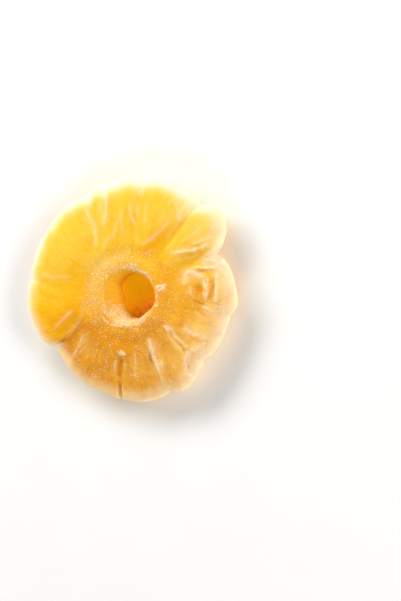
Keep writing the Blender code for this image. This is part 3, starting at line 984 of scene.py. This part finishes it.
def flesh_material():
    """Golden flesh that lets light in: amber low down as painted shade, pale at the rim as painted
    light, under a crust of sugar.

    The colour starts as the tone's ramp, and each layer is mixed over it by its mask. The crust
    is a second shader, rougher and with the light less deep in it.
    """
    shop = Shop("dried_flesh")
    place = shop.add("ShaderNodeTexCoord", output=3)
    radial = shop.field("fibre")
    threads = shop.noise(radial, 1.1, 4.0, 0.6)
    fine_threads = shop.noise(radial, 3.2, 3.0, 0.6)
    cloud = shop.noise(place, 160.0, 4.0, 0.6)
    speckle = shop.noise(place, 1800.0, 3.0, 0.65)
    crystal_values = {"Vector": place, "Scale": 1900.0}
    crystals = shop.add("ShaderNodeTexVoronoi", {"feature": "F1"}, crystal_values)
    grit = speckle.ramp(0.36, 0.64)
    blotch = shop.noise(place, 520.0, 3.0, 0.6).ramp(0.36, 0.64)
    rough_skin = shop.mask("rough")
    clear = shop.mask("clear")

    # The tone carries the painted shade towards the lower right; the noises add the flesh's own
    # mottling
    tone = shop.mask("tone") + (cloud - 0.5) * 0.4 + (threads - 0.5) * 0.15
    tone = tone + (blotch - 0.5) * (0.12 + 0.06 * rough_skin)
    tone = tone + (grit - 0.5) * (0.08 + 0.30 * rough_skin)
    flesh = shop.add("ShaderNodeValToRGB", {"stops": TONE_STOPS}, {"Fac": tone})
    flesh = shop.mix(shop.mask("bore") * 0.8, flesh, DEEP_GOLD)
    flesh = shop.mix(clear * 0.7, flesh, CLEAR_GOLD)
    haze = shop.mask("haze") * (0.7 + 0.3 * threads + 0.3 * speckle)
    # Painted light through the thin rim, with the pale fibres of the creases
    rim = shop.mask("rim") * (0.8 + 0.2 * threads + 0.2 * speckle)
    flesh = shop.mix(haze.ramp(0.05, 1.0, 0.0, 0.9), flesh, HAZE)
    flesh = shop.mix(rim.ramp(0.05, 1.0, 0.0, 0.9), flesh, CREAM)
    pale_threads = (fine_threads * threads).ramp(0.26, 0.42, 0.0, 0.30)
    flesh = shop.mix(pale_threads * (1.0 - 0.8 * clear), flesh, CREAM)
    flesh = shop.mix(grit * (0.32 * rough_skin), flesh, PALE_GOLD)
    flesh = shop.mix(shop.mask("vein") * (0.85 + 0.3 * grit), flesh, VEIN)
    # Painted shade in the cracks
    flesh = shop.mix(shop.mask("crack").ramp(0.2, 1.0, 0.0, 0.85), flesh, PAINTED_CRACK_SHADE)
    # Painted light along the edge
    flesh = shop.mix(shop.mask("milk"), flesh, PAINTED_EDGE_LIGHT)

    sugar = shop.mask("sugar")
    sugar_share = (sugar * (0.45 + 0.8 * grit)).ramp(0.08, 0.85, 0.0, 0.95)
    rough = 0.32 + 0.20 * cloud + 0.15 * rough_skin
    height = 0.3 * fine_threads + 0.15 * threads + grit * (0.1 + 0.5 * rough_skin)
    bump = shop.add("ShaderNodeBump", {}, {"Strength": 0.35, "Distance": 0.0003, "Height": height})
    crystal_bump = {"Strength": 0.5, "Distance": 0.0002, "Height": crystals + speckle}
    sparkle = shop.add("ShaderNodeBump", {}, {**crystal_bump, "Normal": bump})
    frosted = shop.mix(grit, SUGAR_GOLD, SUGAR_WHITE)
    flesh = shop.mix(sugar_share, flesh, frosted, "LIGHTEN")
    crust_values = {"Base Color": flesh, "Roughness": 0.62, "Normal": sparkle,
                    "Subsurface Weight": 0.8, "Subsurface Radius": CRUST_SHARES,
                    "Subsurface Scale": CRUST_DEPTH}
    crust = shop.add("ShaderNodeBsdfPrincipled", {}, crust_values)
    shop.finish(Base_Color=flesh, Roughness=rough, Normal=bump, Subsurface_Weight=0.75,
                Subsurface_Radius=FLESH_SHARES, Subsurface_Scale=FLESH_DEPTH, IOR=1.42,
                Specular_IOR_Level=0.10)
    return shop.blend(sugar_share * 0.15 + rough_skin * 0.03, crust)


def sugar_material():
    """Frosted grains of sugar, tinted by the flesh under them, and with it by its painted shade."""
    shop = Shop("sugar_grain")
    place = shop.add("ShaderNodeTexCoord", output=3)
    cloud = shop.noise(place, 700.0, 2.0)
    tint = shop.mix(shop.mask("tone"), GRAIN_YELLOW, GRAIN_AMBER)
    colour = shop.mix(cloud.ramp(0.35, 0.65), GRAIN_WHITE, tint)
    return shop.finish(Base_Color=colour, Roughness=0.3 + 0.3 * cloud, IOR=1.5)


def floor_material():
    """A plain matt near-white ground, with painted light near the ring and in its hole that stands
    in for light falling through the flesh. The hole's colours run down a slope to a painted
    shadow at the lower right, and glow a little as painted light, though the ground is no lamp."""
    shop = Shop("floor")
    place = shop.add("ShaderNodeTexCoord", output=3)
    cloud = shop.noise(place, 30.0, 2.0)
    colour = shop.mix(cloud.ramp(0.2, 0.8, 0.0, 0.25), FLOOR_WHITE, FLOOR_GREY)
    distance = shop.add("ShaderNodeVectorMath", {"operation": "LENGTH"}, {0: place}, output=1)
    colour = shop.mix(distance.ramp(*RING_PAINTED_GLOW_RADII, 0.3, 0.0), colour, PAINTED_GLOW_GOLD)
    # Painted light and shadow in the hole, standing in for light through the flesh: orange at the
    # upper left, darker towards the lower right
    in_hole = distance.ramp(*HOLE_PAINTED_GLOW_RADII, 1.0, 0.0)
    along_hole = {0: place, 1: HOLE_SLOPE}
    down = shop.add("ShaderNodeVectorMath", {"operation": "DOT_PRODUCT"}, along_hole, output=1)
    mottle = shop.noise(place, 600.0, 3.0, 0.6)
    down = (down + (mottle - 0.5) * HOLE_MOTTLE).ramp(*HOLE_REACH)
    hole_painted_light = shop.add("ShaderNodeValToRGB", {"stops": HOLE_PAINTED_LIGHT_STOPS}, {"Fac": down})
    hole_painted_glow = shop.add("ShaderNodeValToRGB", {"stops": HOLE_PAINTED_GLOWS}, {"Fac": down})
    colour = shop.mix(in_hole, colour, hole_painted_light)
    # A painted glow in the hole, though the ground is no lamp
    glow = shop.mix(in_hole, BLACK, hole_painted_glow)
    return shop.finish(Base_Color=colour, Roughness=0.8, Emission_Color=glow, Emission_Strength=1.0)


def keep_values(piece, name, values):
    """Keeps a number at each point of a piece's mesh, for its material."""
    layer = piece.data.attributes.new(name, "FLOAT", "POINT")
    layer.data.foreach_set("value", values.astype(np.float32).ravel())


def make_ring(shift):
    """The ring's fine surface as one closed mesh, with its masks as attributes."""
    points, normals, masks, fibre, face = fine_ring()
    faces = closed_grid_faces(*FINE_GRID[:2])
    placed = (points - shift) * MM
    ring = new_mesh("ring_flesh", placed.reshape(-1, 3), faces)
    for name, values in masks.items():
        keep_values(ring, name, values)
    layer = ring.data.attributes.new("fibre", "FLOAT_VECTOR", "POINT")
    layer.data.foreach_set("vector", fibre.astype(np.float32).ravel())
    ring.data.materials.append(flesh_material())
    ring.data.shade_smooth()
    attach(ring, "root")
    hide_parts(NODE)
    return placed, normals, masks, face


def scatter_grains(placed, normals, masks, face):
    """Grains of sugar: small blocks with uneven corners, each turned at random and partly sunk.

    They lie where the sugar is thin or breaks up, and a few all over the rough skin.
    """
    rng = np.random.default_rng(5)
    around, over = np.roll(placed, -1, 0) - placed, np.roll(placed, -1, 1) - placed
    area = np.linalg.norm(np.cross(around, over), axis=-1)
    sprinkled = masks["sugar"] * (1.1 - masks["sugar"]) + 0.001 * masks["rough"]
    weight = (area * sprinkled * face).ravel()
    picks = rng.choice(weight.size, GRAINS, p=weight / weight.sum())
    centre = placed.reshape(-1, 3)[picks]
    normal = normals.reshape(-1, 3)[picks]
    sugar = masks["sugar"].ravel()[picks]
    size = (GRAIN_SIZE + GRAIN_GROWTH * rng.random(GRAINS) ** 2 * (0.5 + sugar)) * MM
    corners = CUBE[None] * rng.uniform(0.6, 1.25, (GRAINS, 8, 3))
    corners = corners * rng.uniform(0.7, 1.2, (GRAINS, 1, 3))
    turn = np.linalg.qr(rng.normal(size=(GRAINS, 3, 3)))[0]
    turn[:, :, 0] *= np.sign(np.linalg.det(turn))[:, None]
    corners = np.einsum("gij,gkj->gki", turn, corners) * size[:, None, None]
    points = centre[:, None] + normal[:, None] * size[:, None, None] * 0.35 + corners
    faces = CUBE_FACES[None] + len(CUBE) * np.arange(GRAINS)[:, None, None]
    grains = new_mesh("sugar_grains", points.reshape(-1, 3), faces.reshape(-1, 4))
    # The grains take the flesh's tone, its painted shade included
    keep_values(grains, "tone", np.repeat(masks["tone"].ravel()[picks], len(CUBE)))
    grains.data.materials.append(sugar_material())
    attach(grains, "root")


def make_floor():
    """A wide level ground, a hair under the ring so that the two don't lie in one plane."""
    corners = np.array([[-1.0, -1.0], [1.0, -1.0], [1.0, 1.0], [-1.0, 1.0]]) * FLOOR_HALF
    points = np.column_stack([corners, np.full(4, -FLOOR_DROP)])
    floor = new_mesh("ground", points, np.array([[0, 1, 2, 3]]))
    floor.data.materials.append(floor_material())


def make_camera(shift):
    """Looks down on the face from the photograph's angle, turned so the ring keeps its place."""
    out = np.sin(LEAN_ANGLE)
    towards = np.array([out * np.cos(LEAN_TURN), out * np.sin(LEAN_TURN), np.cos(LEAN_ANGLE)])
    up = np.array([0.0, 1.0, 0.0]) - towards[1] * towards
    up = up / np.linalg.norm(up)
    right = np.cross(up, towards)
    focal = DISTANCE / MM_PER_PIXEL
    ray = Vector(((RING_PIXEL[0] - FRAME_PIXELS[0] / 2.0) / focal,
                  (FRAME_PIXELS[1] / 2.0 - RING_PIXEL[1]) / focal, -1.0))
    aside = Vector((0.0, 0.0, -1.0)).rotation_difference(ray).to_matrix()
    view = Matrix(np.stack([right, up, towards], axis=1).tolist()) @ aside.transposed()
    target = (np.array([0.0, 0.0, AIM_HEIGHT]) - shift) * MM
    camera_data = bpy.data.cameras.new("camera")
    camera_data.sensor_width = SENSOR
    camera_data.lens = SENSOR * focal / max(FRAME_PIXELS)
    camera_data.clip_start = 0.01
    camera = bpy.data.objects.new("camera", camera_data)
    place = Vector(target + towards * DISTANCE * MM)
    camera.matrix_world = Matrix.Translation(place) @ view.to_4x4()
    bpy.context.scene.collection.objects.link(camera)
    bpy.context.scene.camera = camera


def soft_light(name, place, width, height, power, colour):
    """A long lamp that faces the ring, as wide and as high as given."""
    lamp = bpy.data.lights.new(name, "AREA")
    lamp.shape = "RECTANGLE"
    lamp.size, lamp.size_y = width, height
    lamp.energy = power
    lamp.color = colour
    holder = bpy.data.objects.new(name, lamp)
    holder.location = place
    holder.rotation_euler = (-Vector(place)).to_track_quat("-Z", "Y").to_euler()
    bpy.context.scene.collection.objects.link(holder)


def light_scene():
    """Low windows all round, the brightest at the upper left, under a sky that is dim overhead."""
    for lamp in LAMPS:
        soft_light(*lamp)
    world = bpy.data.worlds.new("sky")
    world.use_nodes = True
    tree = world.node_tree
    towards = tree.nodes.new("ShaderNodeTexCoord")
    height = tree.nodes.new("ShaderNodeSeparateXYZ")
    fade = tree.nodes.new("ShaderNodeMapRange")
    fade.inputs["From Max"].default_value = SKY_TOP
    fade.inputs["To Min"].default_value = SKY_AT_HORIZON
    fade.inputs["To Max"].default_value = SKY_OVERHEAD
    sky = tree.nodes["Background"]
    sky.inputs["Color"].default_value = SKY_COLOUR
    tree.links.new(towards.outputs["Generated"], height.inputs[0])
    tree.links.new(height.outputs["Z"], fade.inputs["Value"])
    tree.links.new(fade.outputs["Result"], sky.inputs["Strength"])
    bpy.context.scene.world = world
    bpy.context.scene.view_settings.view_transform = "Standard"


shift = box_shift()
make_camera(shift)
light_scene()
make_floor()
scatter_grains(*make_ring(shift))
